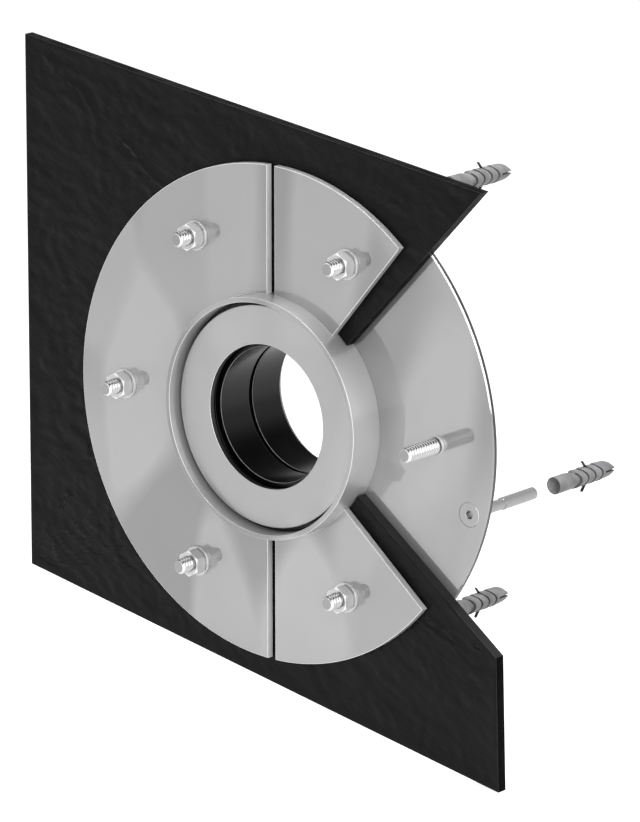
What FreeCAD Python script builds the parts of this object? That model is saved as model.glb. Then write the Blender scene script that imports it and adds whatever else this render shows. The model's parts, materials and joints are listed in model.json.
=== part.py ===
"""Annular gap seal with a wall flange set, cut open at the right to show its layers.

The pipe's axis is Y. The room is on the -Y side, the wall on the +Y side and Z is up.
The origin is on the axis, in the plane of the wall's face.
All lengths are in millimetres and all angles in degrees.
"""
import FreeCAD, Part
import os

import Sketcher

doc = FreeCAD.newDocument("annular_gap_seal")

# Driving dimensions
DIMENSIONS = [
    ("pipe_diameter", 108.0),
    ("pipe_clearance", 0.5),
    ("sleeve_outer_diameter", 193.7),
    ("sleeve_wall", 4.0),
    ("sleeve_stand_out", 15.7),
    ("sleeve_reach_into_wall", 75.0),
    ("sleeve_bevel", 0.6),
    ("weld_leg", 3.0),
    ("fixed_flange_diameter", 418.0),
    ("fixed_flange_thickness", 5.0),
    ("flange_bevel", 1.0),
    ("loose_flange_diameter", 400.0),
    ("loose_flange_thickness", 6.0),
    ("loose_flange_clearance", 0.5),
    ("loose_flange_split", 7.5),
    ("flange_cut_upper_angle", 50.0),
    ("flange_cut_lower_angle", 40.0),
    ("sheet_thickness", 10.0),
    ("sheet_clearance", 1.0),
    ("sheet_upper_left", 265.0),
    ("sheet_lower_left", 266.8),
    ("sheet_upper_right", 202.4),
    ("sheet_right", 220.6),
    ("sheet_lower_right", 224.1),
    ("sheet_upper_left_height", 269.8),
    ("sheet_upper_right_height", 205.9),
    ("sheet_lower_left_depth", 174.4),
    ("sheet_lower_right_depth", 263.0),
    ("sheet_cut_upper_angle", 46.75),
    ("sheet_right_depth", 155.1),
    ("sheet_cut_lower_angle", 36.95),
    ("stud_circle_radius", 154.0),
    ("stud_diameter", 12.0),
    ("stud_length", 40.0),
    ("stud_tip_bevel", 1.0),
    ("stud_collar_diameter", 14.5),
    ("stud_collar_height", 3.0),
    ("stud_hole_clearance", 0.75),
    ("washer_diameter", 24.0),
    ("washer_thickness", 2.5),
    ("washer_bevel", 0.4),
    ("nut_across_flats", 19.0),
    ("nut_height", 10.0),
    ("nut_corner_bevel", 1.1),
    ("plate_recess", 9.4),
    ("plate_thickness", 5.0),
    ("plate_gap", 3.85),
    ("plate_hole_margin", 3.5),
    ("plate_bevel", 0.6),
    ("rubber_gap", 0.4),
    ("rubber_front_step", 4.0),
    ("rubber_step_width", 6.0),
    ("rubber_front_length", 38.0),
    ("rubber_rear_length", 33.7),
    ("spacer_thickness", 4.0),
    ("spacer_margin", 4.5),
    ("clamp_screw_diameter", 8.0),
    ("clamp_screw_grip", 3.5),
    ("clamp_head_diameter", 13.0),
    ("clamp_head_height", 8.0),
    ("clamp_hole_clearance", 0.5),
    ("clamp_socket_width", 6.0),
    ("clamp_socket_depth", 4.0),
    ("wall_screw_circle_radius", 192.2),
    ("wall_screw_diameter", 10.0),
    ("wall_screw_length", 80.0),
    ("wall_screw_neck", 8.8),
    ("wall_screw_neck_length", 40.0),
    ("wall_screw_tip_bevel", 1.0),
    ("wall_screw_head_diameter", 19.0),
    ("wall_screw_head_rim", 0.4),
    ("wall_screw_clearance", 0.3),
    ("wall_screw_socket_width", 6.0),
    ("wall_screw_socket_depth", 3.0),
    ("wall_screw_angle_one", -15.0),
    ("wall_screw_angle_two", 65.6),
    ("wall_screw_angle_three", 150.0),
    ("wall_screw_angle_four", 210.0),
    ("wall_screw_angle_five", -65.2),
    ("dowel_diameter", 14.0),
    ("dowel_length", 70.0),
    ("dowel_bore", 11.0),
    ("dowel_bore_depth", 58.0),
    ("dowel_collar_length", 24.0),
    ("dowel_rib_rise", 0.5),
    ("dowel_rib_count", 4.0),
    ("dowel_tip_length", 9.2),
    ("dowel_tip_shoulder", 4.0),
    ("dowel_tip_shoulder_height", 9.6),
    ("dowel_tip_height", 3.2),
    ("dowel_slit_width", 1.6),
    ("dowel_barb_place", 42.6),
    ("dowel_barb_rise", 5.5),
    ("dowel_barb_run", 6.8),
    ("dowel_barb_root", 1.4),
    ("dowel_barb_tip", 1.0),
    ("dowel_barb_width", 2.4),
    ("dowel_distance", 101.0),
]

STUD_COUNT = 6
CLAMP_SCREW_COUNT = 6
WALL_SCREW_ANGLES = ["one", "two", "three", "four", "five"]

sizes = doc.addObject("Spreadsheet::Sheet", "Sizes")
for row, (alias, number) in enumerate(DIMENSIONS, start=1):
    sizes.set(f"A{row}", alias)
    sizes.set(f"B{row}", str(number))
    sizes.setAlias(f"B{row}", alias)
doc.recompute()

# Radii and depths that follow from the driving dimensions
sleeve_outer = "(Sizes.sleeve_outer_diameter / 2)"
sleeve_inner = f"({sleeve_outer} - Sizes.sleeve_wall)"
pipe_hole = "(Sizes.pipe_diameter / 2 + Sizes.pipe_clearance)"
plate_hole = f"({pipe_hole} + Sizes.plate_hole_margin)"
plate_outer = f"({sleeve_inner} - Sizes.plate_gap)"
rubber_outer = f"({sleeve_inner} - Sizes.rubber_gap)"
spacer_hole = f"({pipe_hole} + Sizes.spacer_margin)"
clamp_circle = f"(({plate_hole} + {plate_outer}) / 2)"
fixed_outer = "(Sizes.fixed_flange_diameter / 2)"
loose_outer = "(Sizes.loose_flange_diameter / 2)"
loose_inner = f"({sleeve_outer} + Sizes.loose_flange_clearance)"
sheet_inner = f"({sleeve_outer} + Sizes.sheet_clearance)"
stud_radius = "(Sizes.stud_diameter / 2)"
collar_radius = "(Sizes.stud_collar_diameter / 2)"
clamp_radius = "(Sizes.clamp_screw_diameter / 2)"
screw_radius = "(Sizes.wall_screw_diameter / 2)"
head_radius = "(Sizes.wall_screw_head_diameter / 2)"

flange_front = "(-Sizes.fixed_flange_thickness)"
sheet_front = f"({flange_front} - Sizes.sheet_thickness)"
loose_front = f"({sheet_front} - Sizes.loose_flange_thickness)"
washer_front = f"({loose_front} - Sizes.washer_thickness)"
nut_front = f"({washer_front} - Sizes.nut_height)"
stud_tip = f"({flange_front} - Sizes.stud_length)"
sleeve_front = f"({loose_front} - Sizes.sleeve_stand_out)"
plate_front = f"({sleeve_front} + Sizes.plate_recess)"
plate_back = f"({plate_front} + Sizes.plate_thickness)"
spacer_front = f"({plate_back} + Sizes.rubber_front_length)"
spacer_back = f"({spacer_front} + Sizes.spacer_thickness)"
rear_plate_front = f"({spacer_back} + Sizes.rubber_rear_length)"
rear_plate_back = f"({rear_plate_front} + Sizes.plate_thickness)"

ALONG_AXIS = FreeCAD.Rotation(FreeCAD.Vector(1, 0, 0), -90)
CORNERS_UP = FreeCAD.Rotation(FreeCAD.Vector(0, 0, 1), 90)

nodes = []


def value(expression):
    """Number that an expression gives with the sheet's present sizes."""
    return float(sizes.evalExpression(expression))


def keep(piece):
    """Enter a finished piece in the list of nodes."""
    nodes.append(piece)
    return piece


def place(piece, across="0", depth="0", height="0"):
    """Bind a piece's position to three expressions."""
    for axis, expression in zip("xyz", (across, depth, height)):
        piece.setExpression(f"Placement.Base.{axis}", expression)
    return piece


def place_on_circle(piece, radius, angle, depth="0"):
    """Bind a piece's position to a circle about the pipe's axis."""
    across = f"({radius}) * cos(({angle}) * 1 deg)"
    height = f"({radius}) * sin(({angle}) * 1 deg)"
    return place(piece, across, depth, height)


def sketch_on(body, role, label, corners):
    """Closed outline in one of a body's origin planes, each corner bound to two expressions."""
    plane = next(item for item in body.Origin.OriginFeatures if item.Role == role)
    sketch = body.newObject("Sketcher::SketchObject", label)
    sketch.AttachmentSupport = (plane, [""])
    sketch.MapMode = "FlatFace"
    points = [FreeCAD.Vector(value(first), value(second), 0) for first, second in corners]
    count = len(points)
    for index in range(count):
        sketch.addGeometry(Part.LineSegment(points[index], points[(index + 1) % count]), False)
    for index in range(count):
        sketch.addConstraint(Sketcher.Constraint("Coincident", index, 2, (index + 1) % count, 1))
    for index, corner in enumerate(corners):
        for kind, expression, axis in zip(("DistanceX", "DistanceY"), corner, (-2, -1)):
            if expression == "0":
                sketch.addConstraint(Sketcher.Constraint("PointOnObject", index, 1, axis))
                continue
            datum = Sketcher.Constraint(kind, -1, 1, index, 1, value(expression))
            number = sketch.addConstraint(datum)
            sketch.setExpression(f"Constraints[{number}]", expression)
    return sketch


def turned(label, corners):
    """Body turned about Y from an outline of (radius, depth) corners."""
    body = doc.addObject("PartDesign::Body", label)
    sketch = sketch_on(body, "XY_Plane", f"{label}_profile", corners)
    turn = body.newObject("PartDesign::Revolution", f"{label}_turn")
    turn.Profile = sketch
    turn.ReferenceAxis = (sketch, ["V_Axis"])
    turn.Angle = 360
    sketch.Visibility = False
    body.Tip = turn
    return body


def ring(label, inner, outer, front, back, bevel="0"):
    """Turned ring with square or bevelled front corners."""
    if bevel == "0":
        return turned(label, [(inner, front), (outer, front), (outer, back), (inner, back)])
    return turned(label, [
        (f"{inner} + {bevel}", front),
        (f"{outer} - {bevel}", front),
        (outer, f"{front} + {bevel}"),
        (outer, back),
        (inner, back),
        (inner, f"{front} + {bevel}"),
    ])


def plate(label, corners, thickness, back):
    """Flat body padded forwards from the depth back, from an outline of (across, height) corners."""
    body = doc.addObject("PartDesign::Body", label)
    sketch = sketch_on(body, "XZ_Plane", f"{label}_outline", corners)
    pad = body.newObject("PartDesign::Pad", f"{label}_pad")
    pad.Profile = sketch
    pad.setExpression("Length", thickness)
    sketch.Visibility = False
    body.Tip = pad
    return place(body, depth=back)


def rod(label, radius, front, back):
    """Cylinder about the pipe's axis between two depths."""
    cylinder = doc.addObject("Part::Cylinder", label)
    cylinder.Placement = FreeCAD.Placement(FreeCAD.Vector(), ALONG_AXIS)
    cylinder.setExpression("Radius", radius)
    cylinder.setExpression("Height", f"({back}) - ({front})")
    return place(cylinder, depth=front)


def hexagon(label, across_flats, front, back):
    """Six-sided prism about the pipe's axis with a corner at the top."""
    prism = doc.addObject("Part::Prism", label)
    prism.Polygon = 6
    prism.Placement = FreeCAD.Placement(FreeCAD.Vector(), ALONG_AXIS * CORNERS_UP)
    prism.setExpression("Circumradius", f"{across_flats} / sqrt(3)")
    prism.setExpression("Height", f"({back}) - ({front})")
    return place(prism, depth=front)


def joined(label, pieces):
    """One object made of several."""
    union = doc.addObject("Part::MultiFuse", label)
    union.Shapes = pieces
    return union


def cut(label, base, tools):
    """Base with one tool or several taken away."""
    result = doc.addObject("Part::Cut", label)
    result.Base = base
    result.Tool = tools[0] if len(tools) == 1 else joined(f"{label}_tools", tools)
    return result


def stud_holes(label, numbers, radius, front, back):
    """Drills for the studs with the given numbers, running past both faces."""
    drills = []
    for number in numbers:
        drill = rod(f"{label}_drill_{number}", radius, f"{front} - 1", f"{back} + 1")
        angle = f"{number - 1} * 360 / {STUD_COUNT}"
        drills.append(place_on_circle(drill, "Sizes.stud_circle_radius", angle, f"{front} - 1"))
    return drills


def clamp_holes(label, radius, front, back):
    """Drills for the clamp screws of the pipe seal."""
    drills = []
    for number in range(1, CLAMP_SCREW_COUNT + 1):
        drill = rod(f"{label}_drill_{number}", radius, front, back)
        angle = f"{number - 1} * 360 / {CLAMP_SCREW_COUNT}"
        drills.append(place_on_circle(drill, clamp_circle, angle, front))
    return drills


def bevel_front_rim(label, base, front, bevel):
    """Bevel every edge in the front plane of a plate, apart from its drilled holes."""
    doc.recompute()
    smallest = value("Sizes.stud_diameter")
    edges = []
    for index, edge in enumerate(base.Shape.Edges, start=1):
        in_plane = all(abs(vertex.Y - front) < 1e-6 for vertex in edge.Vertexes)
        round_edge = hasattr(edge.Curve, "Radius")
        if in_plane and not (round_edge and edge.Curve.Radius < smallest):
            edges.append((index, bevel, bevel))
    rim = doc.addObject("Part::Chamfer", label)
    rim.Base = base
    rim.Edges = edges
    return rim


def make_fixed_flange():
    """Steel disc against the wall, countersunk for the wall screws."""
    blank = turned("fixed_flange_blank", [
        (sleeve_outer, flange_front),
        (f"{fixed_outer} - Sizes.flange_bevel", flange_front),
        (fixed_outer, f"{flange_front} + Sizes.flange_bevel"),
        (fixed_outer, "-Sizes.flange_bevel"),
        (f"{fixed_outer} - Sizes.flange_bevel", "0"),
        (f"{sleeve_outer} + Sizes.weld_leg", "0"),
        (sleeve_outer, "-Sizes.weld_leg"),
    ])
    drills = []
    gap = "Sizes.wall_screw_clearance"
    for word in WALL_SCREW_ANGLES:
        drill = turned(f"wall_screw_seat_{word}", [
            ("0", f"{flange_front} - 1"),
            (f"{head_radius} + {gap}", f"{flange_front} - 1"),
            (f"{head_radius} + {gap}", f"{flange_front} + Sizes.wall_screw_head_rim"),
            (f"{screw_radius} + {gap}",
             f"{flange_front} + Sizes.wall_screw_head_rim + {head_radius} - {screw_radius}"),
            (f"{screw_radius} + {gap}", "1"),
            ("0", "1"),
        ])
        drills.append(place_on_circle(drill, "Sizes.wall_screw_circle_radius",
                                      f"Sizes.wall_screw_angle_{word}"))
    keep(cut("fixed_flange", blank, drills))


def make_sleeve():
    """Tube through the wall's core hole, with the weld that fills the groove behind the flange."""
    keep(ring("wall_sleeve", sleeve_inner, sleeve_outer, sleeve_front,
              "Sizes.sleeve_reach_into_wall", "Sizes.sleeve_bevel"))
    keep(turned("sleeve_weld", [
        (sleeve_outer, "-Sizes.weld_leg"),
        (f"{sleeve_outer} + Sizes.weld_leg", "0"),
        (sleeve_outer, "0"),
    ]))


def make_loose_flange():
    """Clamping ring over the sheet: one whole half, and one half with a sector cut out."""
    half_split = "(Sizes.loose_flange_split / 2)"
    reach = "Sizes.loose_flange_diameter"
    upper = "(Sizes.flange_cut_upper_angle * 1 deg)"
    lower = "(Sizes.flange_cut_lower_angle * 1 deg)"
    regions = {
        "left": [
            (f"-{half_split}", f"-{reach}"),
            (f"-{half_split}", reach),
            (f"-{reach}", reach),
            (f"-{reach}", f"-{reach}"),
        ],
        "upper_right": [
            (half_split, f"{half_split} * tan({upper})"),
            (f"{reach} * cos({upper})", f"{reach} * sin({upper})"),
            (f"{reach} * cos({upper})", f"{reach} * 2"),
            (half_split, f"{reach} * 2"),
        ],
        "lower_right": [
            (half_split, f"-{half_split} * tan({lower})"),
            (half_split, f"-{reach} * 2"),
            (f"{reach} * cos({lower})", f"-{reach} * 2"),
            (f"{reach} * cos({lower})", f"-{reach} * sin({lower})"),
        ],
    }
    studs = {"left": (3, 4, 5), "upper_right": (2,), "lower_right": (6,)}
    hole = f"{stud_radius} + Sizes.stud_hole_clearance"
    for side, corners in regions.items():
        label = f"loose_flange_{side}"
        blank = ring(f"{label}_ring", loose_inner, loose_outer, loose_front, sheet_front)
        region = plate(f"{label}_region", corners, "Sizes.loose_flange_thickness", sheet_front)
        segment = doc.addObject("Part::Common", f"{label}_segment")
        segment.Base = blank
        segment.Tool = region
        drilled = cut(f"{label}_drilled", segment,
                      stud_holes(label, studs[side], hole, loose_front, sheet_front))
        keep(bevel_front_rim(label, drilled, value(loose_front), value("Sizes.flange_bevel")))


def make_sheet():
    """Waterproofing sheet between the flanges, with its own wider sector cut out."""
    upper = "(Sizes.sheet_cut_upper_angle * 1 deg)"
    lower = "(Sizes.sheet_cut_lower_angle * 1 deg)"
    upper_foot = f"(Sizes.sheet_upper_right_height - Sizes.sheet_upper_right * tan({upper}))"
    lower_foot = f"(Sizes.sheet_right * tan({lower}) - Sizes.sheet_right_depth)"
    across = f"(({lower_foot} - {upper_foot}) / (tan({upper}) + tan({lower})))"
    height = f"({upper_foot} + {across} * tan({upper}))"
    blank = plate("waterproofing_sheet_blank", [
        ("-Sizes.sheet_upper_left", "Sizes.sheet_upper_left_height"),
        ("-Sizes.sheet_lower_left", "-Sizes.sheet_lower_left_depth"),
        ("Sizes.sheet_lower_right", "-Sizes.sheet_lower_right_depth"),
        ("Sizes.sheet_right", "-Sizes.sheet_right_depth"),
        (across, height),
        ("Sizes.sheet_upper_right", "Sizes.sheet_upper_right_height"),
    ], "Sizes.sheet_thickness", flange_front)
    hole = f"{collar_radius} + Sizes.stud_hole_clearance"
    drills = stud_holes("sheet", (2, 3, 4, 5, 6), hole, sheet_front, flange_front)
    drills.append(rod("sheet_sleeve_hole", sheet_inner, f"{sheet_front} - 1", f"{flange_front} + 1"))
    keep(cut("waterproofing_sheet", blank, drills))


def make_stud_set(number):
    """Stud welded to the fixed flange, with its washer and nut where the loose flange is."""
    angle = f"{number - 1} * 360 / {STUD_COUNT}"
    circle = "Sizes.stud_circle_radius"
    stud = turned(f"weld_stud_{number}", [
        ("0", flange_front),
        (collar_radius, flange_front),
        (collar_radius, f"{flange_front} - Sizes.stud_collar_height"),
        (stud_radius, f"{flange_front} - Sizes.stud_collar_height"),
        (stud_radius, f"{stud_tip} + Sizes.stud_tip_bevel"),
        (f"{stud_radius} - Sizes.stud_tip_bevel", stud_tip),
        ("0", stud_tip),
    ])
    keep(place_on_circle(stud, circle, angle))
    if number == 1:
        return
    washer = ring(f"stud_washer_{number}", f"({stud_radius} + Sizes.stud_hole_clearance / 2)",
                  "(Sizes.washer_diameter / 2)", washer_front, loose_front, "Sizes.washer_bevel")
    keep(place_on_circle(washer, circle, angle))
    corner = "(Sizes.nut_across_flats / sqrt(3))"
    face = f"({corner} - Sizes.nut_corner_bevel * sqrt(3))"
    prism = hexagon(f"stud_nut_{number}_prism", "Sizes.nut_across_flats", nut_front, washer_front)
    lens = turned(f"stud_nut_{number}_lens", [
        (stud_radius, nut_front),
        (face, nut_front),
        (corner, f"{nut_front} + Sizes.nut_corner_bevel"),
        (corner, f"{washer_front} - Sizes.nut_corner_bevel"),
        (face, washer_front),
        (stud_radius, washer_front),
    ])
    place_on_circle(prism, circle, angle, nut_front)
    place_on_circle(lens, circle, angle)
    nut = doc.addObject("Part::Common", f"stud_nut_{number}")
    nut.Base = prism
    nut.Tool = lens
    keep(nut)


def make_pipe_seal():
    """Two rubber rings between steel plates, which the clamp screws squeeze."""
    free_hole = f"{clamp_radius} + Sizes.clamp_hole_clearance"
    blank = ring("front_pressure_plate_blank", plate_hole, plate_outer, plate_front, plate_back,
                 "Sizes.plate_bevel")
    keep(cut("front_pressure_plate", blank,
             clamp_holes("front_plate", clamp_radius, f"({plate_back} - Sizes.clamp_screw_grip)",
                         f"({plate_back} + 1)")))

    step_outer = f"{pipe_hole} + Sizes.rubber_step_width"
    step_depth = f"{plate_back} + Sizes.rubber_front_step"
    blank = turned("rubber_ring_front_blank", [
        (step_outer, plate_back),
        (rubber_outer, plate_back),
        (rubber_outer, spacer_front),
        (pipe_hole, spacer_front),
        (pipe_hole, step_depth),
        (step_outer, step_depth),
    ])
    keep(cut("rubber_ring_front", blank,
             clamp_holes("rubber_front", free_hole, f"({plate_back} - 1)", f"({spacer_front} + 1)")))

    blank = ring("spacer_ring_blank", spacer_hole, plate_outer, spacer_front, spacer_back)
    keep(cut("spacer_ring", blank,
             clamp_holes("spacer", free_hole, f"({spacer_front} - 1)", f"({spacer_back} + 1)")))

    blank = ring("rubber_ring_rear_blank", pipe_hole, rubber_outer, spacer_back, rear_plate_front)
    keep(cut("rubber_ring_rear", blank,
             clamp_holes("rubber_rear", free_hole, f"({spacer_back} - 1)",
                         f"({rear_plate_front} + 1)")))

    blank = ring("rear_pressure_plate_blank", plate_hole, plate_outer, rear_plate_front,
                 rear_plate_back)
    keep(cut("rear_pressure_plate", blank,
             clamp_holes("rear_plate", free_hole, f"({rear_plate_front} - 1)",
                         f"({rear_plate_back} + 1)")))


def make_clamp_screw(number):
    """Socket-head screw with its head behind the rear plate and its thread in the front plate."""
    head_back = f"({rear_plate_back} + Sizes.clamp_head_height)"
    angle = f"{number - 1} * 360 / {CLAMP_SCREW_COUNT}"
    tip = f"({plate_back} - Sizes.clamp_screw_grip)"
    blank = turned(f"clamp_screw_{number}_blank", [
        ("0", tip),
        (clamp_radius, tip),
        (clamp_radius, rear_plate_back),
        ("Sizes.clamp_head_diameter / 2", rear_plate_back),
        ("Sizes.clamp_head_diameter / 2", head_back),
        ("0", head_back),
    ])
    socket = hexagon(f"clamp_screw_{number}_socket", "Sizes.clamp_socket_width",
                     f"({head_back} - Sizes.clamp_socket_depth)", f"({head_back} + 1)")
    place_on_circle(blank, clamp_circle, angle)
    place_on_circle(socket, clamp_circle, angle, f"({head_back} - Sizes.clamp_socket_depth)")
    keep(cut(f"clamp_screw_{number}", blank, [socket]))


def make_wall_screw(word):
    """Countersunk socket screw, flush in the fixed flange, that points into the wall."""
    neck = "(Sizes.wall_screw_neck / 2)"
    neck_end = f"({flange_front} + Sizes.wall_screw_neck_length)"
    cone_end = f"({flange_front} + Sizes.wall_screw_head_rim + {head_radius} - {neck})"
    tip = f"({flange_front} + Sizes.wall_screw_length)"
    angle = f"Sizes.wall_screw_angle_{word}"
    circle = "Sizes.wall_screw_circle_radius"
    blank = turned(f"wall_screw_{word}_blank", [
        ("0", flange_front),
        (head_radius, flange_front),
        (head_radius, f"{flange_front} + Sizes.wall_screw_head_rim"),
        (neck, cone_end),
        (neck, neck_end),
        (screw_radius, neck_end),
        (screw_radius, f"{tip} - Sizes.wall_screw_tip_bevel"),
        (f"{screw_radius} - Sizes.wall_screw_tip_bevel", tip),
        ("0", tip),
    ])
    socket = hexagon(f"wall_screw_{word}_socket", "Sizes.wall_screw_socket_width",
                     f"({flange_front} - 1)", f"({flange_front} + Sizes.wall_screw_socket_depth)")
    place_on_circle(blank, circle, angle)
    place_on_circle(socket, circle, angle, f"({flange_front} - 1)")
    keep(cut(f"wall_screw_{word}", blank, [socket]))


def dowel_profile():
    """Plain collar and saw-tooth ribs, from the mouth backwards."""
    collar = "(Sizes.dowel_diameter / 2)"
    crest = f"({collar} + Sizes.dowel_rib_rise)"
    start = "(Sizes.dowel_distance + Sizes.dowel_collar_length)"
    end = "(Sizes.dowel_distance + Sizes.dowel_length)"
    pitch = f"(({end} - Sizes.dowel_tip_length - {start}) / Sizes.dowel_rib_count)"
    corners = [("0", "Sizes.dowel_distance"), (collar, "Sizes.dowel_distance"), (collar, start)]
    for rib in range(int(value("Sizes.dowel_rib_count"))):
        corners.append((crest, f"{start} + {pitch} * {rib}"))
        corners.append((collar, f"{start} + {pitch} * {rib + 1}"))
    corners.append((collar, end))
    corners.append(("0", end))
    return corners


def pinch(label, base):
    """Base pinched above and below towards its far end, as wide as before."""
    mouth = "Sizes.dowel_distance"
    end = f"({mouth} + Sizes.dowel_length)"
    depths = [f"{mouth} - 1", f"{end} - Sizes.dowel_tip_length", f"{end} - Sizes.dowel_tip_shoulder", end]
    full = "(Sizes.dowel_diameter / 2 + Sizes.dowel_rib_rise)"
    heights = [full, full, "Sizes.dowel_tip_shoulder_height / 2", "Sizes.dowel_tip_height / 2"]
    above = list(zip(depths, heights))
    below = [(depth, f"-{height}") for depth, height in reversed(above)]
    side_view = doc.addObject("PartDesign::Body", f"{label}_side_view")
    sketch = sketch_on(side_view, "YZ_Plane", f"{label}_side_outline", above + below)
    pad = side_view.newObject("PartDesign::Pad", f"{label}_side_pad")
    pad.Profile = sketch
    pad.setExpression("Length", "Sizes.dowel_diameter * 2")
    pad.Midplane = True
    sketch.Visibility = False
    side_view.Tip = pad
    pinched = doc.addObject("Part::Common", label)
    pinched.Base = base
    pinched.Tool = side_view
    return pinched


def make_barb(label, side):
    """Thin fin on a dowel's top or bottom, which leans towards the mouth."""
    collar = "(Sizes.dowel_diameter / 2)"
    bore = "(Sizes.dowel_bore / 2)"
    root = "(Sizes.dowel_distance + Sizes.dowel_barb_place)"
    tip = f"({root} - Sizes.dowel_barb_run)"
    fin = doc.addObject("PartDesign::Body", label)
    sketch = sketch_on(fin, "YZ_Plane", f"{label}_outline", [
        (f"{root} - Sizes.dowel_barb_root", f"{side}{bore}"),
        (f"{root} + Sizes.dowel_barb_root", f"{side}{bore}"),
        (f"{tip} + Sizes.dowel_barb_tip", f"{side}({collar} + Sizes.dowel_barb_rise)"),
        (tip, f"{side}({collar} + Sizes.dowel_barb_rise)"),
    ])
    pad = fin.newObject("PartDesign::Pad", f"{label}_pad")
    pad.Profile = sketch
    pad.setExpression("Length", "Sizes.dowel_barb_width")
    pad.Midplane = True
    sketch.Visibility = False
    fin.Tip = pad
    return fin


def make_wall_dowel(word):
    """Expanding plastic dowel, drawn out behind its screw."""
    label = f"wall_dowel_{word}"
    mouth = "Sizes.dowel_distance"
    slit_start = f"({mouth} + Sizes.dowel_collar_length)"
    body = pinch(f"{label}_pinched", turned(f"{label}_body", dowel_profile()))
    barbs = [make_barb(f"{label}_barb_above", ""), make_barb(f"{label}_barb_below", "-")]
    whole = joined(f"{label}_whole", [body] + barbs)
    bore = rod(f"{label}_bore", "Sizes.dowel_bore / 2", f"({mouth} - 1)",
               f"({mouth} + Sizes.dowel_bore_depth)")
    slit = doc.addObject("Part::Box", f"{label}_slit")
    slit.setExpression("Length", "Sizes.dowel_diameter * 2")
    slit.setExpression("Width", "Sizes.dowel_length")
    slit.setExpression("Height", "Sizes.dowel_slit_width")
    place(slit, "-Sizes.dowel_diameter", slit_start, "-Sizes.dowel_slit_width / 2")
    dowel = cut(label, whole, [bore, slit])
    keep(place_on_circle(dowel, "Sizes.wall_screw_circle_radius", f"Sizes.wall_screw_angle_{word}"))


def check_document():
    """Stop if any object failed or any piece is not one sound solid."""
    doc.recompute()
    for item in doc.Objects:
        if "Invalid" in item.State or "Error" in item.State:
            raise RuntimeError(f"{item.Label}: {item.State}")
    for node in nodes:
        shape = node.Shape
        if shape.isNull() or not shape.isValid() or len(shape.Solids) != 1:
            raise RuntimeError(f"{node.Label}: not one valid solid")
    labels = [node.Label for node in nodes]
    if len(labels) != len(set(labels)):
        raise RuntimeError("two pieces have the same label")


make_fixed_flange()
make_sleeve()
make_loose_flange()
make_sheet()
for stud_number in range(1, STUD_COUNT + 1):
    make_stud_set(stud_number)
make_pipe_seal()
for screw_number in range(1, CLAMP_SCREW_COUNT + 1):
    make_clamp_screw(screw_number)
for angle_word in WALL_SCREW_ANGLES:
    make_wall_screw(angle_word)
    make_wall_dowel(angle_word)

check_document()
os.makedirs("parts", exist_ok=True)
for node in nodes:
    node.Shape.exportStep(f"parts/{node.Label}.step")
    print(node.Label, round(node.Shape.Volume, 1), node.Shape.BoundBox)
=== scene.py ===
# %% [markdown]
# This lesson dresses a pipe wall seal: a steel sleeve with a fixed flange against the wall, a black
# waterproofing sheet, a split loose flange with six studs, and a rubber pipe seal inside the sleeve.
# The solids come ready made from the frame, in metres, with the pipe along Y and the room on the -Y side.
# Here they get threads, bevels, embossing and finishes, so we first load the frame and keep its box.

# %% Load the frame
import json
import math

import bmesh
import bpy
from mathutils import Matrix, Vector, noise


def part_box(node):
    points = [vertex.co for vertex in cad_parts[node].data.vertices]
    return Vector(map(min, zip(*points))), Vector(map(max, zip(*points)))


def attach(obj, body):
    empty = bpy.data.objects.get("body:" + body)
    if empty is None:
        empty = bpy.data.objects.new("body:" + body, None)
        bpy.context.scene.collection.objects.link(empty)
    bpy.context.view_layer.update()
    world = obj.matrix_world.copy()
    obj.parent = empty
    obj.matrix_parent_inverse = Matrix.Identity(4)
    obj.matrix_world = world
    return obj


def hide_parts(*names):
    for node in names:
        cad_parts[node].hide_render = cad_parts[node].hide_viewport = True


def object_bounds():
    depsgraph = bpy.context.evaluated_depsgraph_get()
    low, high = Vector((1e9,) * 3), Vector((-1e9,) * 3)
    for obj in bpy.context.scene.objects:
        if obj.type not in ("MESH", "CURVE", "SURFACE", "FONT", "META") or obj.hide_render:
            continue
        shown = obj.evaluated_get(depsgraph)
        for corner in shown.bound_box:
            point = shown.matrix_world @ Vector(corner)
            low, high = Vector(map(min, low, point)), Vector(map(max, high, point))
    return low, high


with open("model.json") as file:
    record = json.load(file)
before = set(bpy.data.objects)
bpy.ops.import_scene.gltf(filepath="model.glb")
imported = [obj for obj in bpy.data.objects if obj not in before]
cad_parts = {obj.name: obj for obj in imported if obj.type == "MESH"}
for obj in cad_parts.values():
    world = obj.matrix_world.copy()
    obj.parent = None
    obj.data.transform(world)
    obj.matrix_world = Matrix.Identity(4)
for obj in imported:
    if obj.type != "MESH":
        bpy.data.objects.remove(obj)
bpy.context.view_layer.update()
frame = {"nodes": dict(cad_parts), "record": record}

MM = 0.001
slot_of = {part["node"]: part["material_slot"] for part in frame["record"]["subparts"]}

# %% [markdown]
# Every finish here is made from noise in object space, so it sits still on its piece in any view. Each
# one clouds over between two greys, varies a little in gloss, and has a fine relief. The helpers below
# add one shader node at a time, and then the noise, the relief and the tint that all finishes share.

# %% Material helpers
materials = {}


def add_node(tree, kind, inputs=(), **settings):
    """New shader node. An input given as a socket is linked, and any other is set as its value."""
    node = tree.nodes.new(f"ShaderNode{kind}")
    for setting, value in settings.items():
        setattr(node, setting, value)
    for name, value in dict(inputs).items():
        if isinstance(value, bpy.types.NodeSocket):
            tree.links.new(value, node.inputs[name])
        else:
            node.inputs[name].default_value = value
    return node


def new_finish(name, metallic=0.0):
    """Start a material, and give its node tree, its shader's inputs and its place in object space."""
    made = bpy.data.materials.new(name)
    made.use_nodes = True
    materials[name] = made
    shader = made.node_tree.nodes["Principled BSDF"].inputs
    shader["Metallic"].default_value = metallic
    return made.node_tree, shader, add_node(made.node_tree, "TexCoord").outputs["Object"]


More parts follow.
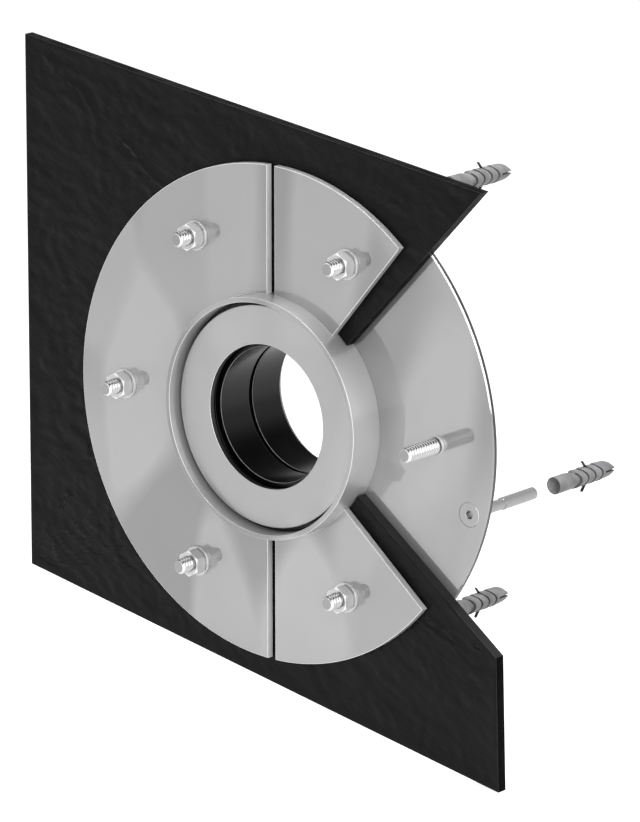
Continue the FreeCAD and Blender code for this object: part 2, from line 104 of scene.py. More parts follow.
def noise_range(tree, place, scale, detail, low=0.0, high=1.0, stretch=(1, 1, 1), slant=0.0):
    """Noise in object space, drawn out along slanted axes, that runs from low to high."""
    mapping = add_node(tree, "Mapping", {
        "Vector": place,
        "Scale": stretch,
        "Rotation": (0, math.radians(slant), 0),
    }, vector_type="TEXTURE")
    texture = add_node(tree, "TexNoise", {
        "Vector": mapping.outputs["Vector"],
        "Scale": scale,
        "Detail": detail,
    })
    spread = add_node(tree, "MapRange", {
        "Value": texture.outputs["Fac"],
        "From Min": 0.3,
        "From Max": 0.7,
        "To Min": low,
        "To Max": high,
    })
    return spread.outputs["Result"]


def add_bump(tree, height, distance, below=None):
    """Normals of a relief that is distance metres deep, on top of an earlier relief."""
    inputs = {"Height": height, "Distance": distance}
    if below is not None:
        inputs["Normal"] = below
    return add_node(tree, "Bump", inputs).outputs["Normal"]


def tint(tree, shader, amount, dark, light, blue=1.0):
    """Base colour that a texture blends between two greys, with a share of blue."""
    blend = add_node(tree, "Mix", {
        "Factor": amount,
        "A": (dark, dark, dark * blue, 1),
        "B": (light, light, light * blue, 1),
    }, data_type="RGBA")
    tree.links.new(blend.outputs["Result"], shader["Base Color"])

# %% [markdown]
# The flanges, the sleeve and the studs are stainless steel. Rolled sheet is satin, yet it faintly mirrors
# what stands on it. A rough base under a thin smooth coat gives both at once: the base spreads the
# light, and the coat adds weak, sharp images. The tint clouds over in patches as wide as a hand, and
# there is a fine grain. One function makes all the steels, so they match. They differ in how bright
# they are, how rough, and how strong the coat is: rolled faces, ground faces and screw shanks. Several
# are only lighter or darker copies that paint light and shade onto faces by how they sit: a near-white
# steel is a painted highlight on broken edges, thread crests and collars; lighter copies paint light on
# the sleeve's walls, the nuts' flats, the washers' rims and the loose flange's sawn and milled cuts; and
# darker copies paint shade into thread roots, screw sockets, stud ends, the plate's walls and the fixed
# flange's rim.

# %% Steel finishes
PATCH_SCALE, PATCH_BLUR = 7.5, 0.34
COAT_ROUGHNESS, COAT_IOR, GRAIN = 0.03, 2.7, 4e-6


def panels(tree, place):
    """Big patches of random brightness with soft borders, from 0 to 1."""
    mapping = add_node(tree, "Mapping", {
        "Vector": place,
        "Rotation": (0, math.radians(35), 0),
        "Scale": (1.7, 1.0, 0.8),
    })
    cells = add_node(tree, "TexVoronoi", {
        "Vector": mapping.outputs["Vector"],
        "Scale": PATCH_SCALE,
        "Smoothness": PATCH_BLUR,
    }, feature="SMOOTH_F1")
    spread = add_node(tree, "MapRange", {
        "Value": cells.outputs["Color"],
        "From Min": 0.25,
        "From Max": 0.75,
    })
    return spread.outputs["Result"]


def add_steel(name, grey, cloud, roughness, coat=0.0, metallic=1.0):
    """Steel of a grey that clouds over by the share cloud, under a coat of the given weight."""
    tree, shader, place = new_finish(name, metallic)
    tint(tree, shader, panels(tree, place), grey * (1 - cloud), grey * (1 + cloud))
    gloss = noise_range(tree, place, 25.0, 3.0, roughness * 0.88, roughness * 1.15)
    tree.links.new(gloss, shader["Roughness"])
    shader["Coat Weight"].default_value = coat
    shader["Coat Roughness"].default_value = COAT_ROUGHNESS
    shader["Coat IOR"].default_value = COAT_IOR
    grain = noise_range(tree, place, 1800.0, 2.0)
    tree.links.new(add_bump(tree, grain, GRAIN), shader["Normal"])


add_steel("satin_steel", 0.265, 0.40, 0.42, coat=0.68, metallic=0.3)
# A lighter copy of the satin steel for the sleeve's walls: painted light.
add_steel("lit_sleeve_steel", 0.64, 0.14, 0.38, coat=0.4, metallic=0.4)
add_steel("bright_steel", 0.48, 0.06, 0.18, metallic=0.8)
# A lighter copy for the nuts' flats and the washers' rims: painted light on their sides.
add_steel("lit_side_steel", 0.72, 0.05, 0.30, metallic=0.5)
add_steel("plate_steel", 0.41, 0.06, 0.40, coat=0.2, metallic=0.7)
# A darker copy for thread roots, screw sockets and stud ends: painted shade.
add_steel("inner_steel", 0.30, 0.10, 0.35)
# A near-white steel for broken edges, thread crests and collars: a painted highlight.
add_steel("highlight_steel", 0.95, 0.03, 0.35, metallic=0.5)
# A lighter copy for the loose flange's split faces: painted light.
add_steel("lit_split_steel", 0.85, 0.06, 0.60, metallic=0.3)
# A dark copy for the fixed flange's rim and the pressure plate's walls: painted shade.
add_steel("deep_shade_steel", 0.11, 0.20, 0.50)
# A lighter copy for the loose flange's other cut sides: painted light.
add_steel("lit_cut_steel", 0.50, 0.12, 0.60, metallic=0.1)
add_steel("shank_steel", 0.36, 0.12, 0.22, metallic=0.45)
print("steels:", sorted(materials))

# %% [markdown]
# Rubber and sheet are both black, but not alike. The seal's rubber is moulded smooth, so it has a soft
# gloss, and a pale copy of it is a painted highlight on the front edges of its lands. The waterproofing
# sheet is rolled with a pattern like split slate. Its coarse steps are modelled further down, and its
# finish adds the fine scales as relief, slanting down to the right. A lighter copy of the sheet is a
# painted highlight on its front bevels and on the cut that faces up, and a blacker copy is painted shade
# on its other cuts. The dowels are grey plastic, with painted shade in their grooves, slit and fins, and
# painted light in the mouth.

# %% Rubber, sheet and plastic
SLATE_SLANT = 25


def add_rubber(name, dark, light):
    tree, shader, place = new_finish(name)
    tint(tree, shader, noise_range(tree, place, 40.0, 3.0), dark, light)
    shader["Specular IOR Level"].default_value = 0.19
    tree.links.new(noise_range(tree, place, 60.0, 3.0, 0.20, 0.26), shader["Roughness"])
    skin = noise_range(tree, place, 900.0, 2.0)
    tree.links.new(add_bump(tree, skin, 1.5e-5), shader["Normal"])


def add_slate(name, dark, light, shine=0.11):
    tree, shader, place = new_finish(name)
    patches = noise_range(tree, place, 20.0, 4.0, stretch=(1.8, 1, 0.7), slant=SLATE_SLANT)
    tint(tree, shader, patches, dark, light)
    shader["Specular IOR Level"].default_value = shine
    tree.links.new(noise_range(tree, place, 30.0, 5.0, 0.30, 0.42), shader["Roughness"])
    scales = noise_range(tree, place, 50.0, 4.0, stretch=(1.9, 1, 0.8), slant=SLATE_SLANT)
    pores = noise_range(tree, place, 700.0, 2.0)
    relief = add_bump(tree, pores, 3e-5, add_bump(tree, scales, 7e-4))
    tree.links.new(relief, shader["Normal"])


def add_plastic(name, dark, light):
    tree, shader, place = new_finish(name)
    tint(tree, shader, noise_range(tree, place, 90.0, 3.0), dark, light, blue=1.02)
    tree.links.new(noise_range(tree, place, 120.0, 2.0, 0.40, 0.52), shader["Roughness"])
    skin = noise_range(tree, place, 1200.0, 2.0)
    tree.links.new(add_bump(tree, skin, 2e-5), shader["Normal"])


add_rubber("seal_rubber", 0.001, 0.002)
# A pale copy of the rubber for the front edges of the lands: a painted highlight.
add_rubber("rubber_highlight", 0.34, 0.46)
add_slate("sheet_membrane", 0.003, 0.006)
# A lighter copy of the sheet for its front bevels and the cut that faces up: a painted highlight.
add_slate("sheet_highlight", 0.021, 0.031)
# A blacker, less shiny copy of the sheet for its other cuts: painted shade.
add_slate("sheet_shade", 0.0015, 0.003, shine=0.015)
add_plastic("dowel_plastic", 0.15, 0.27)
# A darker copy of the plastic for the grooves, the slit and the fins: painted shade.
add_plastic("dowel_shade", 0.03, 0.06)
# A paler copy of the plastic for the inside of the mouth: painted light.
add_plastic("dowel_mouth_light", 0.42, 0.56)
print("finishes:", len(materials))

# %% [markdown]
# The solids that keep their own mesh, such as the hidden clamp screws, take the finish of their slot.
# A finish goes in through the object's material slots, and the mesh itself is left as it is.

# %% Finish the carried-over solids
for name, solid in frame["nodes"].items():
    solid.material_slots[0].material = materials[slot_of[name]]
print("dressed", len(frame["nodes"]), "solids")

# %% [markdown]
# A new piece is made as a mesh in millimetres, then scaled and handed to the frame in place of its node.
# Weighted normals keep its flat faces flat. A piece can have more than one finish: a function looks at
# each face and says which, and so paints highlights on edges and light or shade on faces by how they sit.

# %% Piece helpers
def centre_of(node):
    """Middle of a node across and upwards, and its front and back depths, in millimetres."""
    low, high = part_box(node)
    return ((low.x + high.x) / 2 / MM, (low.z + high.z) / 2 / MM, low.y / MM, high.y / MM)


def add_piece(name, bm, slot, nodes, sharp=40.0, finishes=None):
    """Make an object of a mesh given in millimetres, with its finish, and let it stand for nodes."""
    bmesh.ops.recalc_face_normals(bm, faces=bm.faces)
    bmesh.ops.scale(bm, vec=(MM, MM, MM), verts=bm.verts)
    mesh = bpy.data.meshes.new(name)
    bm.to_mesh(mesh)
    bm.free()
    mesh.shade_smooth()
    mesh.set_sharp_from_angle(angle=math.radians(sharp))
    mesh.materials.append(materials[slot])
    if finishes is not None:
        extra, choose = finishes
        for finish in extra:
            mesh.materials.append(materials[finish])
        for face in mesh.polygons:
            face.material_index = choose(face)
    piece = bpy.data.objects.new(name, mesh)
    bpy.context.scene.collection.objects.link(piece)
    even = piece.modifiers.new("even_normals", "WEIGHTED_NORMAL")
    even.keep_sharp = True
    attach(piece, "root")
    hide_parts(*nodes)
    print("made", name, len(mesh.vertices), "vertices")
    return piece


def is_front_bevel(face, least=0.2, most=0.97):
    """Whether a face leans between the front and a side, as a broken front edge does."""
    return least < -face.normal.y < most


def cut_away(target, cutter, name):
    """Mesh of an object once the shape of a second mesh is cut out of it."""
    mesh = bpy.data.meshes.new(name)
    cutter.to_mesh(mesh)
    cutter.free()
    knife = bpy.data.objects.new(name, mesh)
    bpy.context.scene.collection.objects.link(knife)
    cut = target.modifiers.new(name, "BOOLEAN")
    cut.object = knife
    cut.solver = "EXACT"
    bpy.context.view_layer.update()
    depsgraph = bpy.context.evaluated_depsgraph_get()
    shaped = bpy.data.meshes.new_from_object(target.evaluated_get(depsgraph))
    target.modifiers.clear()
    bpy.data.objects.remove(knife)
    return shaped

# %% [markdown]
# Most pieces here are turned on a lathe, so one helper turns a closed outline of (radius, depth) points
# about the pipe's direction. Sharp corners look false on metal, where every edge is broken a little, so
# another helper swaps each corner for a short arc.

# %% Lathe helpers
NIL, MERGE = 1e-6, 0.001


def soften(outline, radius, steps=3):
    """Outline with an arc of the given radius in place of each corner."""
    result = []
    count = len(outline)
    for index, corner in enumerate(outline):
        here = Vector(corner)
        before = Vector(outline[index - 1]) - here
        after = Vector(outline[(index + 1) % count]) - here
        reach = min(radius, before.length * 0.45, after.length * 0.45)
        if here.x < NIL or reach < NIL:
            result.append(tuple(here))
            continue
        start, end = here + before.normalized() * reach, here + after.normalized() * reach
        for step in range(steps + 1):
            part = step / steps
            point = start * (1 - part) ** 2 + here * 2 * part * (1 - part) + end * part ** 2
            result.append(tuple(point))
    return result


def add_ring(bm, centre, count, spot):
    """Ring of points about a line along Y. At each angle, spot gives the radius and the depth."""
    ring = []
    for step in range(count):
        angle = 2 * math.pi * step / count
        radius, depth = spot(angle)
        across, height = radius * math.cos(angle), radius * math.sin(angle)
        ring.append(bm.verts.new((centre[0] + across, depth, centre[1] + height)))
    return ring


def add_circle(bm, centre, count, radius, depth):
    """Round ring of points, or a single point on the line where the radius is nil."""
    if radius < NIL:
        return [bm.verts.new((centre[0], depth, centre[1]))]
    return add_ring(bm, centre, count, lambda angle: (radius, depth))


def join_rings(bm, ring, other):
    """Add the faces between two rings, either of which may be a single point."""
    count = max(len(ring), len(other))
    for step in range(count if count > 1 else 0):
        near = (step + 1) % count
        if len(ring) == 1:
            bm.faces.new((ring[0], other[step], other[near]))
        elif len(other) == 1:
            bm.faces.new((ring[step], other[0], ring[near]))
        else:
            bm.faces.new((ring[step], other[step], other[near], ring[near]))


def turn(bm, outline, centre=(0.0, 0.0), segments=160):
    """Add the solid that a closed outline of (radius, depth) sweeps about a line along Y."""
    rings = [add_circle(bm, centre, segments, radius, depth) for radius, depth in outline]
    for ring, other in zip(rings, rings[1:] + rings[:1]):
        join_rings(bm, ring, other)


def turned_piece(name, outline, slot, nodes, centre=(0.0, 0.0), edge=0.3, segments=160, finishes=None):
    bm = bmesh.new()
    turn(bm, soften(outline, edge), centre, segments)
    return add_piece(name, bm, slot, nodes, finishes=finishes)

# %% [markdown]
# The fixed flange is a plain disc with bevelled rims and five countersunk screw holes. The disc is
# turned first, and the holes are cut by a Boolean with turned cones, as a drill would cut them. At the
# back, a groove around the sleeve takes the weld, so that the flange lies flat on the wall.

# %% Fixed flange
FIXED_FRONT, FIXED_RADIUS, FIXED_BEVEL, FIXED_RIM_BAND = -5.0, 209.0, 1.0, 1.2
SLEEVE_RADIUS, WELD_LEG = 96.85, 3.0
HEAD_RADIUS, SCREW_RADIUS, SCREW_GAP, HEAD_RIM = 9.5, 5.0, 0.3, 0.4
PAST_FACE = 1.0
SCREW_WORDS = ("one", "two", "three", "four", "five")
screw_places = {word: centre_of(f"wall_screw_{word}")[:2] for word in SCREW_WORDS}


def flange_finish(face):
    """Satin on the faces, painted shade on the rim, and a painted highlight where the front bevel faces
    up.
    """
    middle = face.center
    if math.hypot(middle.x, middle.z) < (FIXED_RADIUS - FIXED_RIM_BAND) * MM:
        return 0
    if face.normal.y < -0.25:
        return int(face.normal.z > 0.12)
    return 2


cones = bmesh.new()
for place in screw_places.values():
    turn(cones, [
        (0, FIXED_FRONT - PAST_FACE),
        (HEAD_RADIUS + SCREW_GAP, FIXED_FRONT - PAST_FACE),
        (HEAD_RADIUS + SCREW_GAP, FIXED_FRONT + HEAD_RIM),
        (SCREW_RADIUS + SCREW_GAP, -0.1),
        (SCREW_RADIUS + SCREW_GAP, PAST_FACE),
        (0, PAST_FACE),
    ], place, 48)
bmesh.ops.recalc_face_normals(cones, faces=cones.faces)
bmesh.ops.scale(cones, vec=(MM, MM, MM), verts=cones.verts)
flange = turned_piece("fixed_flange_disc", [
    (SLEEVE_RADIUS, FIXED_FRONT),
    (FIXED_RADIUS - FIXED_BEVEL, FIXED_FRONT),
    (FIXED_RADIUS, FIXED_FRONT + FIXED_BEVEL),
    (FIXED_RADIUS, -FIXED_BEVEL),
    (FIXED_RADIUS - FIXED_BEVEL, 0),
    (SLEEVE_RADIUS + WELD_LEG, 0),
    (SLEEVE_RADIUS, -WELD_LEG),
], "satin_steel", ["fixed_flange"], edge=0.25, segments=320,
    finishes=(("highlight_steel", "deep_shade_steel"), flange_finish))
flange.data = cut_away(flange, cones, "countersinks")
for face in flange.data.polygons:
    face.material_index = flange_finish(face)
print("fixed flange:", len(flange.data.vertices), "vertices")

# %% [markdown]
# The sleeve is a tube with a painted highlight on the broken edge at its mouth, and its walls are painted
# lighter than its end, as light on them. The pressure plate inside it and the rubber behind the plate are
# turned too. The rubber's edges are rounded more, as moulded edges are.

# %% Sleeve, plate and rubber
SLEEVE_FRONT, SLEEVE_BACK, SLEEVE_BORE = -36.7, 75.0, 92.85
PLATE_FRONT, PLATE_BACK, PLATE_BORE, PLATE_RADIUS = -27.3, -22.3, 58.0, 89.0
PIPE_BORE, RUBBER_RADIUS, RUBBER_STEP = 54.5, 92.45, 60.5
LAND_FRONT, SPACER_FRONT, SPACER_BACK, REAR_FRONT = -18.3, 15.7, 19.7, 53.4
STEEL_EDGE, RUBBER_ROUND = 0.7, 0.8


def mouth_finish(face):
    """Painted highlight on the broken front edges, satin on the mouth's end, and painted light on the
    walls.
    """
    if is_front_bevel(face):
        return 1
    return 0 if face.normal.y < -0.9 else 2


def plate_rim_finish(face):
    """Painted highlight on the broken front edges, and painted shade on the walls."""
    if is_front_bevel(face):
        return 1
    return 2 if abs(face.normal.y) < 0.2 else 0


def land_finish(face):
    """Painted highlight on the front edge of a land, near the bore."""
    middle = face.center
    near = math.hypot(middle.x, middle.z) < (PIPE_BORE + 1) * MM
    return int(near and is_front_bevel(face))


turned_piece("sleeve_tube", [
    (SLEEVE_BORE, PLATE_BACK),
    (SLEEVE_BORE, SLEEVE_FRONT),
    (SLEEVE_RADIUS, SLEEVE_FRONT),
    (SLEEVE_RADIUS, SLEEVE_BACK),
    (SLEEVE_BORE, SLEEVE_BACK),
], "satin_steel", ["wall_sleeve"], edge=STEEL_EDGE, segments=256,
    finishes=(("highlight_steel", "lit_sleeve_steel"), mouth_finish))
turned_piece("pressure_plate", [
    (PLATE_BORE, PLATE_FRONT),
    (PLATE_RADIUS, PLATE_FRONT),
    (PLATE_RADIUS, PLATE_BACK),
    (PLATE_BORE, PLATE_BACK),
], "plate_steel", ["front_pressure_plate"], edge=STEEL_EDGE, segments=256,
    finishes=(("highlight_steel", "deep_shade_steel"), plate_rim_finish))
turned_piece("front_rubber", [
    (RUBBER_STEP, PLATE_BACK),
    (RUBBER_RADIUS, PLATE_BACK),
    (RUBBER_RADIUS, SPACER_FRONT),
    (PIPE_BORE, SPACER_FRONT),
    (PIPE_BORE, LAND_FRONT),
    (RUBBER_STEP, LAND_FRONT),
], "seal_rubber", ["rubber_ring_front"], edge=RUBBER_ROUND, segments=192,
    finishes=(("rubber_highlight",), land_finish))
turned_piece("rear_rubber", [
    (PIPE_BORE, SPACER_BACK),
    (RUBBER_RADIUS, SPACER_BACK),
    (RUBBER_RADIUS, REAR_FRONT),
    (PIPE_BORE, REAR_FRONT),
], "seal_rubber", ["rubber_ring_rear"], edge=RUBBER_ROUND, segments=192,
    finishes=(("rubber_highlight",), land_finish))

# %% [markdown]
# Flange plates and sheet are cut from flat stock. A flat curve with its holes as inner loops can be
# extruded and bevelled in one go, which gives clean broken edges all round. The curve lies flat, so its
# mesh is turned up afterwards.

# %% Flat plates from curves
def arc(radius, start, end, steps, centre=(0.0, 0.0)):
    """Points on an arc between two angles in degrees."""
    points = []
    for step in range(steps + 1):
        angle = math.radians(start + (end - start) * step / steps)
        points.append((centre[0] + radius * math.cos(angle), centre[1] + radius * math.sin(angle)))
    return points


def flat_plate(outline, holes, front, back, edge):
    """Mesh, in millimetres, of a plate with bevelled edges, from an outline and its holes."""
    curve = bpy.data.curves.new("plate", "CURVE")
    curve.dimensions = "2D"
    curve.fill_mode = "BOTH"
    curve.extrude = (back - front) / 2 - edge
    curve.bevel_depth = edge
    curve.offset = -edge
    curve.bevel_resolution = 1
    for loop in [outline] + holes:
        spline = curve.splines.new("POLY")
        spline.points.add(len(loop) - 1)
        for point, corner in zip(spline.points, loop):
            point.co = (*corner, 0, 1)
        spline.use_cyclic_u = True
    holder = bpy.data.objects.new("plate", curve)
    mesh = bpy.data.meshes.new_from_object(holder)
    bm = bmesh.new()
    bm.from_mesh(mesh)
    upright = Matrix(((1, 0, 0, 0), (0, 0, 1, (front + back) / 2), (0, 1, 0, 0), (0, 0, 0, 1)))
    bmesh.ops.transform(bm, matrix=upright, verts=bm.verts)
    bmesh.ops.remove_doubles(bm, verts=bm.verts, dist=0.01)
    bpy.data.objects.remove(holder)
    bpy.data.curves.remove(curve)
    bpy.data.meshes.remove(mesh)
    return bm

# %% [markdown]
# The loose flange is one half ring, and two pieces of the other half beside the sector that is cut
# away. It is milled at the split and sawn at the cuts, and its cut sides are painted lighter, as light
# on them, while its broken front edges carry a painted highlight.

# %% Loose flange
LOOSE_FRONT, SHEET_FRONT, LOOSE_BEVEL = -21.0, -15.0, 0.5
LOOSE_RADIUS, LOOSE_BORE, HALF_SPLIT = 200.0, 96.95, 3.75
CUT_UPPER, CUT_LOWER = 50.0, -40.0
STUD_CIRCLE, STUD_HOLE, COLLAR_HOLE = 154.0, 6.75, 8.0


def split_angle(radius):
    """Angle from the vertical at which the split's edge meets a circle."""
    return math.degrees(math.asin(HALF_SPLIT / radius))


def stud_hole(number, radius):
    """Round hole of a radius at the place of a numbered stud."""
    angle = math.radians(60 * (number - 1))
    middle = (STUD_CIRCLE * math.cos(angle), STUD_CIRCLE * math.sin(angle))
    return arc(radius, 360, 15, 23, middle)


def plate_finish(face):
    """Satin on the faces, a painted highlight on the front bevels, and painted light on the cut sides."""
    if is_front_bevel(face, 0.25, 0.95):
        return 1
    if abs(face.normal.y) > 0.25:
        return 0
    return 2 if abs(face.center.x) < (HALF_SPLIT + 1) * MM else 3


outer, inner = split_angle(LOOSE_RADIUS), split_angle(LOOSE_BORE)
segments_of_ring = {
    "left": (arc(LOOSE_RADIUS, 90 + outer, 270 - outer, 150)
             + arc(LOOSE_BORE, 270 - inner, 90 + inner, 90), (3, 4, 5)),
    "upper_right": (arc(LOOSE_RADIUS, CUT_UPPER, 90 - outer, 40)
                    + arc(LOOSE_BORE, 90 - inner, CUT_UPPER, 30), (2,)),
    "lower_right": (arc(LOOSE_RADIUS, -90 + outer, CUT_LOWER, 50)
                    + arc(LOOSE_BORE, CUT_LOWER, -90 + inner, 36), (6,)),
}
for side, (outline, studs) in segments_of_ring.items():
    holes = [stud_hole(number, STUD_HOLE) for number in studs]
    plate = flat_plate(outline, holes, LOOSE_FRONT, SHEET_FRONT, LOOSE_BEVEL)
    add_piece(f"loose_ring_{side}", plate, "satin_steel", [f"loose_flange_{side}"],
              finishes=(("highlight_steel", "lit_split_steel", "lit_cut_steel"), plate_finish))

# %% [markdown]
# The waterproofing sheet lies between the flanges, and its own sector is cut a little narrower. It is
# made like the flange plates, with a straight cut from each right-hand corner to the sleeve's hole.

# %% Waterproofing sheet
SHEET_BACK, SHEET_BORE, SHEET_BEVEL = -5.0, 97.85, 0.8
UPPER_CUT, LOWER_CUT = math.radians(46.75), math.radians(36.95)
lower_right, upper_right = (220.6, -155.1), (202.4, 205.9)
outer_corners = [lower_right, (224.1, -263.0), (-266.8, -174.4), (-265.0, 269.8), upper_right]


def meet(corner, angle):
    """Where a cut from a corner, at an angle, reaches the sleeve's hole in the sheet."""
    slope = math.tan(angle)
    foot = corner[1] - corner[0] * slope
    half = foot * slope
    root = math.sqrt(half * half - (1 + slope * slope) * (foot * foot - SHEET_BORE ** 2))
    across = (-half + root) / (1 + slope * slope)
    return (across, foot + across * slope)


upper_end, lower_end = meet(upper_right, UPPER_CUT), meet(lower_right, -LOWER_CUT)
start = math.degrees(math.atan2(upper_end[1], upper_end[0]))
stop = 360 + math.degrees(math.atan2(lower_end[1], lower_end[0]))
sheet_outline = [upper_right] + arc(SHEET_BORE, start, stop, 110) + outer_corners[:-1]
sheet_holes = [stud_hole(number, COLLAR_HOLE) for number in (2, 3, 4, 5, 6)]
sheet = flat_plate(sheet_outline[::-1], sheet_holes, SHEET_FRONT, SHEET_BACK, SHEET_BEVEL)
print("sheet outline:", len(sheet_outline), "points")

# %% [markdown]
# Its face is embossed like split slate. The plate is sliced both ways into a fine net, and the points of
# the front face sink by up to a millimetre. Noise that is bent by a second noise, added to a slanting
# ramp and then cut into terraces, gives long scales with torn edges that slant down to the right. Near
# the sheet's rims the relief fades out, so that the edges stay straight. Blender's bending noise starts
# from the clock unless it is given a seed, so a fixed seed makes every run's relief the same.

# %% Embossing of the sheet
NET, EMBOSS_DEPTH, TERRACE, SLANT = 3.2, 1.0, 28.0, math.radians(-27)
PLAIN_RIM, FADE = 2.0, 8.0
BEND_RATES, BEND_SEED, BEND_SIZE = (0.016, 0.020), 1.5, 0.5
WAVE_RATES, WAVE_SEED, WAVE_SIZE = (0.010, 0.022), 4.0, 2.2
WAVE_DIMENSION, WAVE_LACUNARITY, WAVE_OCTAVES = 0.9, 2.0, 4
RELIEF_SEED = 7
noise.seed_set(RELIEF_SEED)


def slate_depth(across, height):
    """Share of the full depth, from 0 to 1, at a point of the sheet's face."""
    along = across * math.cos(SLANT) + height * math.sin(SLANT)
    beside = height * math.cos(SLANT) - across * math.sin(SLANT)
    bend = noise.noise_vector(Vector((along * BEND_RATES[0], beside * BEND_RATES[1], BEND_SEED)))
    place = Vector((along * WAVE_RATES[0], beside * WAVE_RATES[1], WAVE_SEED)) + bend * BEND_SIZE
    waves = noise.fractal(place, WAVE_DIMENSION, WAVE_LACUNARITY, WAVE_OCTAVES)
    level = beside / TERRACE + waves * WAVE_SIZE
    return level - math.floor(level)


def rim_distance(across, height):
    """Distance from a point to the nearest straight edge of the sheet."""
    corners = [upper_end] + outer_corners[::-1] + [lower_end]
    here = Vector((across, height, 0))
    nearest = math.inf
    for first, second in zip(corners, corners[1:]):
        start_point, end_point = Vector((*first, 0)), Vector((*second, 0))
        edge = end_point - start_point
        share = min(max((here - start_point).dot(edge) / edge.length_squared, 0), 1)
        nearest = min(nearest, (here - start_point - edge * share).length)
    return nearest


def on_front(vert):
    """Whether a point of the sheet lies on the flat of its front face."""
    flat = all(abs(face.normal.y) > 0.98 for face in vert.link_faces)
    return flat and abs(vert.co.y - SHEET_FRONT) < MERGE


def sheet_finish(face):
    """Painted highlight on the front bevels and where a cut faces up, and painted shade on the other
    cuts.
    """
    middle = face.center / MM
    if is_front_bevel(face, 0.25, 0.9) and rim_distance(middle.x, middle.z) < 1:
        return 1
    if abs(face.normal.y) > 0.25:
        return 0
    return 1 if face.normal.x > 0.3 and face.normal.z > 0.3 else 2


for axis, direction in (("x", Vector((1, 0, 0))), ("z", Vector((0, 0, 1)))):
    places = [getattr(vert.co, axis) for vert in sheet.verts]
    cut_at, last = min(places) + NET, max(places)
    while cut_at < last:
        bmesh.ops.bisect_plane(sheet, geom=sheet.verts[:] + sheet.edges[:] + sheet.faces[:],
                               plane_co=direction * cut_at, plane_no=direction)
        cut_at += NET
for vert in sheet.verts:
    if on_front(vert):
        fade = min(max((rim_distance(vert.co.x, vert.co.z) - PLAIN_RIM) / FADE, 0), 1)
        vert.co.y += EMBOSS_DEPTH * fade * slate_depth(vert.co.x, vert.co.z)
add_piece("embossed_sheet", sheet, "sheet_membrane", ["waterproofing_sheet"],
          finishes=(("sheet_highlight", "sheet_shade"), sheet_finish))

# %% [markdown]
# A thread is a groove that climbs around the rod. To model it, each column of points around the rod is
# pushed along by its share of the pitch, so the rows climb, and the last column joins the first one a
# pitch further on. Rows that would run past the rod's ends are held at the ends.

# %% Thread helper
THREAD_STEPS = ((0.0, 1.0), (0.26, 1.0), (0.56, 0.0), (0.74, 0.0))
THREAD_COLUMNS = 40


def add_thread(bm, centre, front, back, radius, pitch, depth, tip):
    """Threaded rod along Y, with a bevelled tip at its front end."""
    rows = (math.ceil((back - front) / pitch) + 3) * len(THREAD_STEPS)
    grid = []
    for column in range(THREAD_COLUMNS):
        angle = 2 * math.pi * column / THREAD_COLUMNS
        line = []
        for row in range(rows):
            turns, step = divmod(row, len(THREAD_STEPS))
            share, groove = THREAD_STEPS[step]
            raw = front + (turns - 2 + share + column / THREAD_COLUMNS) * pitch
            depth_here = min(max(raw, front), back)
            limit = radius - max(tip - (depth_here - front), 0)
            reach = min(radius - groove * depth, limit)
            if depth_here in (front, back):
                reach = radius - max(tip, depth)
            across, height = reach * math.cos(angle), reach * math.sin(angle)
            line.append(bm.verts.new((centre[0] + across, depth_here, centre[1] + height)))
        grid.append(line)
    for column in range(THREAD_COLUMNS):
        last = column == THREAD_COLUMNS - 1
        shift = len(THREAD_STEPS) if last else 0
        line, other = grid[column], grid[0 if last else column + 1]
        for row in range(rows - 1 - shift):
            bm.faces.new((line[row], other[row + shift], other[row + shift + 1], line[row + 1]))
    bmesh.ops.remove_doubles(bm, verts=[vert for line in grid for vert in line], dist=MERGE)
    rims = [edge for edge in bm.edges if edge.is_boundary]
    bmesh.ops.holes_fill(bm, edges=rims, sides=0)

# %% [markdown]
# Each stud is welded to the fixed flange: a thread with a bevelled tip, and a round collar at its foot.
# The crests and the collar carry a painted highlight, and the roots, the flat end and the collar's front
# are painted darker, as shade.

# %% Weld studs
STUD_RADIUS, STUD_PITCH, STUD_DEPTH, STUD_TIP = 6.0, 3.0, 1.0, 1.5
COLLAR_RADIUS, COLLAR_FRONT = 7.25, -8.0
ROOT_RADIUS = (STUD_RADIUS - STUD_DEPTH * 0.8) * MM


def thread_finish(face, centre, front):
    """Painted shade on the flat ends and in the roots, and a painted highlight on the crests and the
    broken edge.
    """
    if face.normal.y < -0.95:
        return 1
    if abs(face.normal.y) > 0.3:
        return 2 if face.normal.y < 0 and face.center.y < front * MM + STUD_TIP * MM else 0
    away = face.center - Vector((centre[0], 0, centre[1])) * MM
    return 1 if math.hypot(away.x, away.z) < ROOT_RADIUS else 2


for number in range(1, 7):
    across, height, front, back = centre_of(f"weld_stud_{number}")
    centre = (across, height)
    bm = bmesh.new()
    add_thread(bm, centre, front, back, STUD_RADIUS, STUD_PITCH, STUD_DEPTH, STUD_TIP)
    collar = [(0, COLLAR_FRONT), (COLLAR_RADIUS, COLLAR_FRONT), (COLLAR_RADIUS, back), (0, back)]
    turn(bm, soften(collar, 0.4), centre, 48)
    add_piece(f"threaded_stud_{number}", bm, "bright_steel", [f"weld_stud_{number}"], sharp=25,
              finishes=(("inner_steel", "highlight_steel"), lambda face: thread_finish(face, centre, front)))

# %% [markdown]
# A nut's corners are turned off by a cone on both faces, which leaves the curved edges on its flats.
# Working around the nut, the cone's depth at each angle follows from how far the flat lies from the
# axis there, so rings of points give the right shape without any cutting. Washers are plain rings.

# %% Nuts and washers
NUT_FLATS, NUT_FACE, CONE_SLOPE = 19.0, 9.2, math.tan(math.radians(30))
NUT_POINTS, BORE_EASE, BORE_WIDER = 96, 0.9, 0.7
WASHER_RADIUS, WASHER_GAP = 12.0, 0.4


